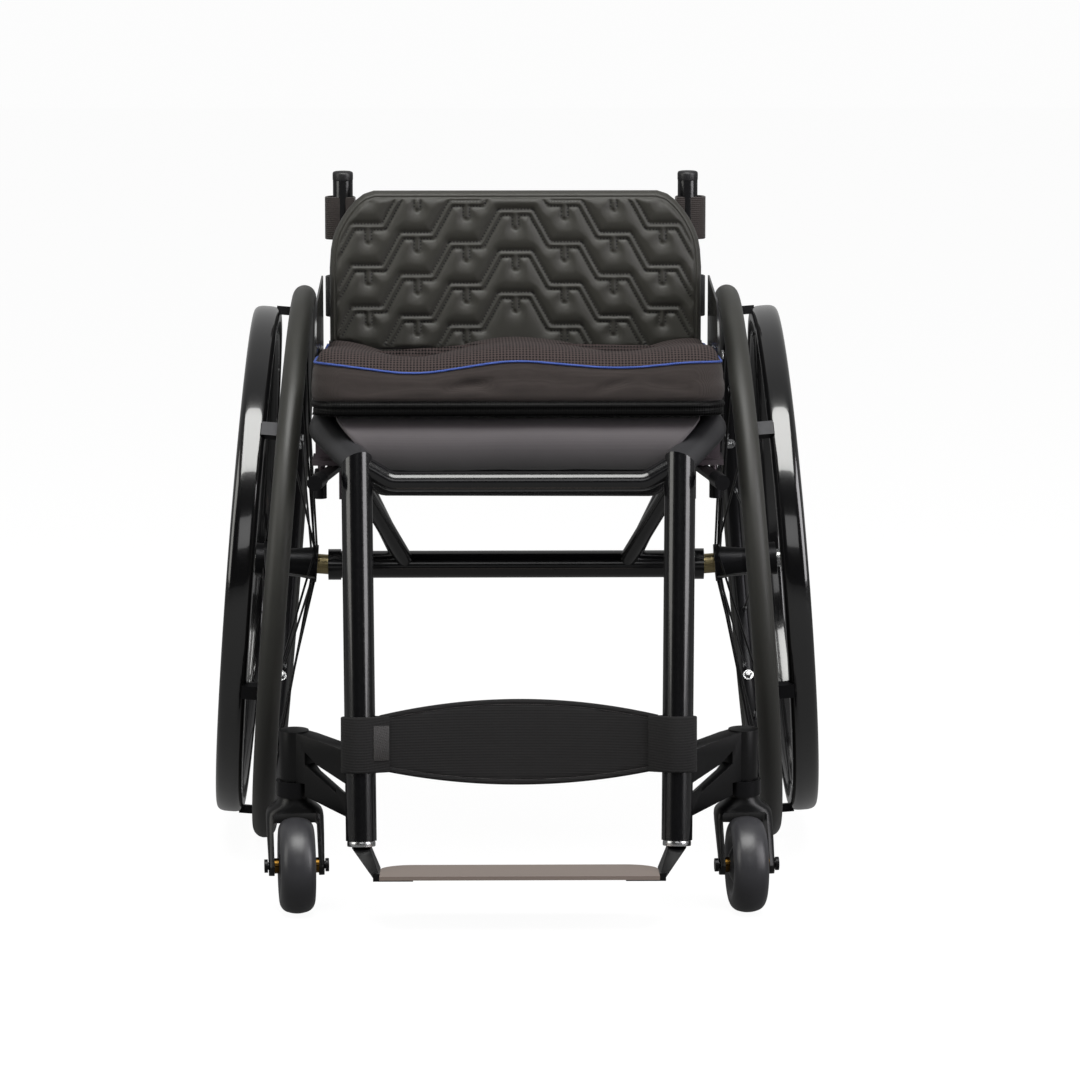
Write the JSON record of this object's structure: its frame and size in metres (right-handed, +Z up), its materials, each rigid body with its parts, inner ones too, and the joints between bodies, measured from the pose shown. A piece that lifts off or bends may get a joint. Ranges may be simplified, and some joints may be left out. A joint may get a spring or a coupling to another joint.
{
  "type": "active wheelchair",
  "caption": "Rigid-frame active wheelchair with cambered push-rim wheels, swivelling casters, low quilted backrest, cushion, calf strap and footplate.",
  "frame": {"origin": "on the floor under the middle of the chair's box", "axes": "+Z up, the front of the chair towards -Y, +X to the left hand of someone facing the chair's back and so to the viewer's right when the front faces them"},
  "size_m": [0.6594, 0.783, 0.727],
  "materials": {
    "frame_paint": "gloss black",
    "push_rim_coat": "gloss black coat",
    "black_alloy": "satin black anodised",
    "steel": "satin",
    "spoke_steel": "satin black",
    "gold_alloy": "gold anodised",
    "brass": "turned",
    "brake_alloy": "satin",
    "plate_coat": "satin grey coat",
    "tyre_rubber": "matte",
    "caster_rubber": "matte",
    "core_plastic": "matte",
    "cap_plastic": "matte",
    "guard_plastic": "gloss",
    "cushion_fabric": "brown mesh and weave",
    "seat_fabric": "grey weave",
    "black_webbing": "black webbing",
    "pad_leather": "quilted black leatherette"
  },
  "bodies": {
    "frame": {"quick_release_axles": "steel", "axle_tube": "frame_paint", "camber_sleeves": "gold_alloy", "front_crossbar": "frame_paint", "front_struts": "frame_paint", "rear_struts": "frame_paint", "caster_bearings": "steel", "footrest_hangers": "frame_paint", "footplate": "plate_coat", "calf_strap": "black_webbing", "seat_sling": "seat_fabric", "under_seat_bag": "black_webbing", "cushion": "cushion_fabric", "side_guards": "guard_plastic", "hinge_brackets": "frame_paint", "hinge_pins": "steel", "brake_mounts": "brake_alloy", "seat_rail_left": "frame_paint", "front_tube_left": "frame_paint", "caster_arm_left": "frame_paint", "seat_rail_right": "frame_paint", "front_tube_right": "frame_paint", "caster_arm_right": "frame_paint"},
    "backrest": {"backrest_posts": "frame_paint", "post_caps": "cap_plastic", "backrest_bar": "frame_paint", "backrest_pad": "pad_leather", "backrest_straps": "black_webbing"},
    "wheel_left": {"tyre_left": "tyre_rubber", "rim_left": "black_alloy", "spokes_left": "spoke_steel", "hub_left": "black_alloy", "hub_bearings_left": "steel", "handrim_left": "push_rim_coat", "handrim_tabs_left": "black_alloy"},
    "axle_button_left": {"axle_button_left": "steel"},
    "caster_fork_left": {"caster_fork_left": "black_alloy", "caster_stem_left": "steel", "caster_bolt_left": "steel", "caster_spacers_left": "brass"},
    "caster_wheel_left": {"caster_core_left": "core_plastic", "caster_tyre_left": "caster_rubber"},
    "brake_lever_left": {"brake_lever_left": "brake_alloy"},
    "brake_arm_left": {"brake_arm_left": "brake_alloy"},
    "wheel_right": {"tyre_right": "tyre_rubber", "rim_right": "black_alloy", "spokes_right": "spoke_steel", "hub_right": "black_alloy", "hub_bearings_right": "steel", "handrim_right": "push_rim_coat", "handrim_tabs_right": "black_alloy"},
    "axle_button_right": {"axle_button_right": "steel"},
    "caster_fork_right": {"caster_fork_right": "black_alloy", "caster_stem_right": "steel", "caster_bolt_right": "steel", "caster_spacers_right": "brass"},
    "caster_wheel_right": {"caster_core_right": "core_plastic", "caster_tyre_right": "caster_rubber"},
    "brake_lever_right": {"brake_lever_right": "brake_alloy"},
    "brake_arm_right": {"brake_arm_right": "brake_alloy"}
  },
  "joints": [
    {"name": "wheel_spin_left", "type": "hinge", "parent": "frame", "child": "wheel_left", "pos_m": [-0.255, 0.0865, 0.3041], "axis": [-0.9969, 0, 0.0785], "continuous": true},
    {"name": "axle_button_press_left", "type": "slide", "parent": "frame", "child": "axle_button_left", "axis": [0.9969, 0, -0.0785], "range_m": [0, 0.0035], "stiffness_N_per_m": 400},
    {"name": "caster_swivel_left", "type": "hinge", "parent": "frame", "child": "caster_fork_left", "pos_m": [-0.234, -0.2515, 0.15], "axis": [0, 0, 1], "continuous": true},
    {"name": "caster_roll_left", "type": "hinge", "parent": "caster_fork_left", "child": "caster_wheel_left", "pos_m": [-0.23104, -0.28537, 0.05], "axis": [0.9962, 0.0872, 0], "continuous": true},
    {"name": "brake_lever_left", "type": "hinge", "parent": "frame", "child": "brake_lever_left", "pos_m": [-0.192, -0.1795, 0.451], "axis": [0, 0, -1], "range_deg": [0, 55]},
    {"name": "brake_arm_left", "type": "hinge", "parent": "frame", "child": "brake_arm_left", "pos_m": [-0.206, -0.1595, 0.4445], "axis": [0, 0, -1], "range_deg": [0, 39.33]},
    {"name": "wheel_spin_right", "type": "hinge", "parent": "frame", "child": "wheel_right", "pos_m": [0.255, 0.0865, 0.3041], "axis": [0.9969, 0, 0.0785], "continuous": true},
    {"name": "axle_button_press_right", "type": "slide", "parent": "frame", "child": "axle_button_right", "axis": [-0.9969, 0, -0.0785], "range_m": [0, 0.0035], "stiffness_N_per_m": 400},
    {"name": "caster_swivel_right", "type": "hinge", "parent": "frame", "child": "caster_fork_right", "pos_m": [0.234, -0.2515, 0.15], "axis": [0, 0, 1], "continuous": true},
    {"name": "caster_roll_right", "type": "hinge", "parent": "caster_fork_right", "child": "caster_wheel_right", "pos_m": [0.23696, -0.28537, 0.05], "axis": [0.9962, 0.0872, 0], "continuous": true},
    {"name": "brake_lever_right", "type": "hinge", "parent": "frame", "child": "brake_lever_right", "pos_m": [0.192, -0.1795, 0.451], "axis": [0, 0, 1], "range_deg": [0, 55]},
    {"name": "brake_arm_right", "type": "hinge", "parent": "frame", "child": "brake_arm_right", "pos_m": [0.206, -0.1595, 0.4445], "axis": [0, 0, 1], "range_deg": [0, 39.33]},
    {"name": "backrest_fold", "type": "hinge", "parent": "frame", "child": "backrest", "pos_m": [0, 0.1665, 0.528], "axis": [1, 0, 0], "range_deg": [0, 65], "deforming": ["cushion"]}
  ],
  "couplings": [
    {"joint": "brake_arm_left", "follows": "brake_lever_left", "ratio": 0.71487},
    {"joint": "brake_arm_right", "follows": "brake_lever_right", "ratio": 0.71487}
  ]
}
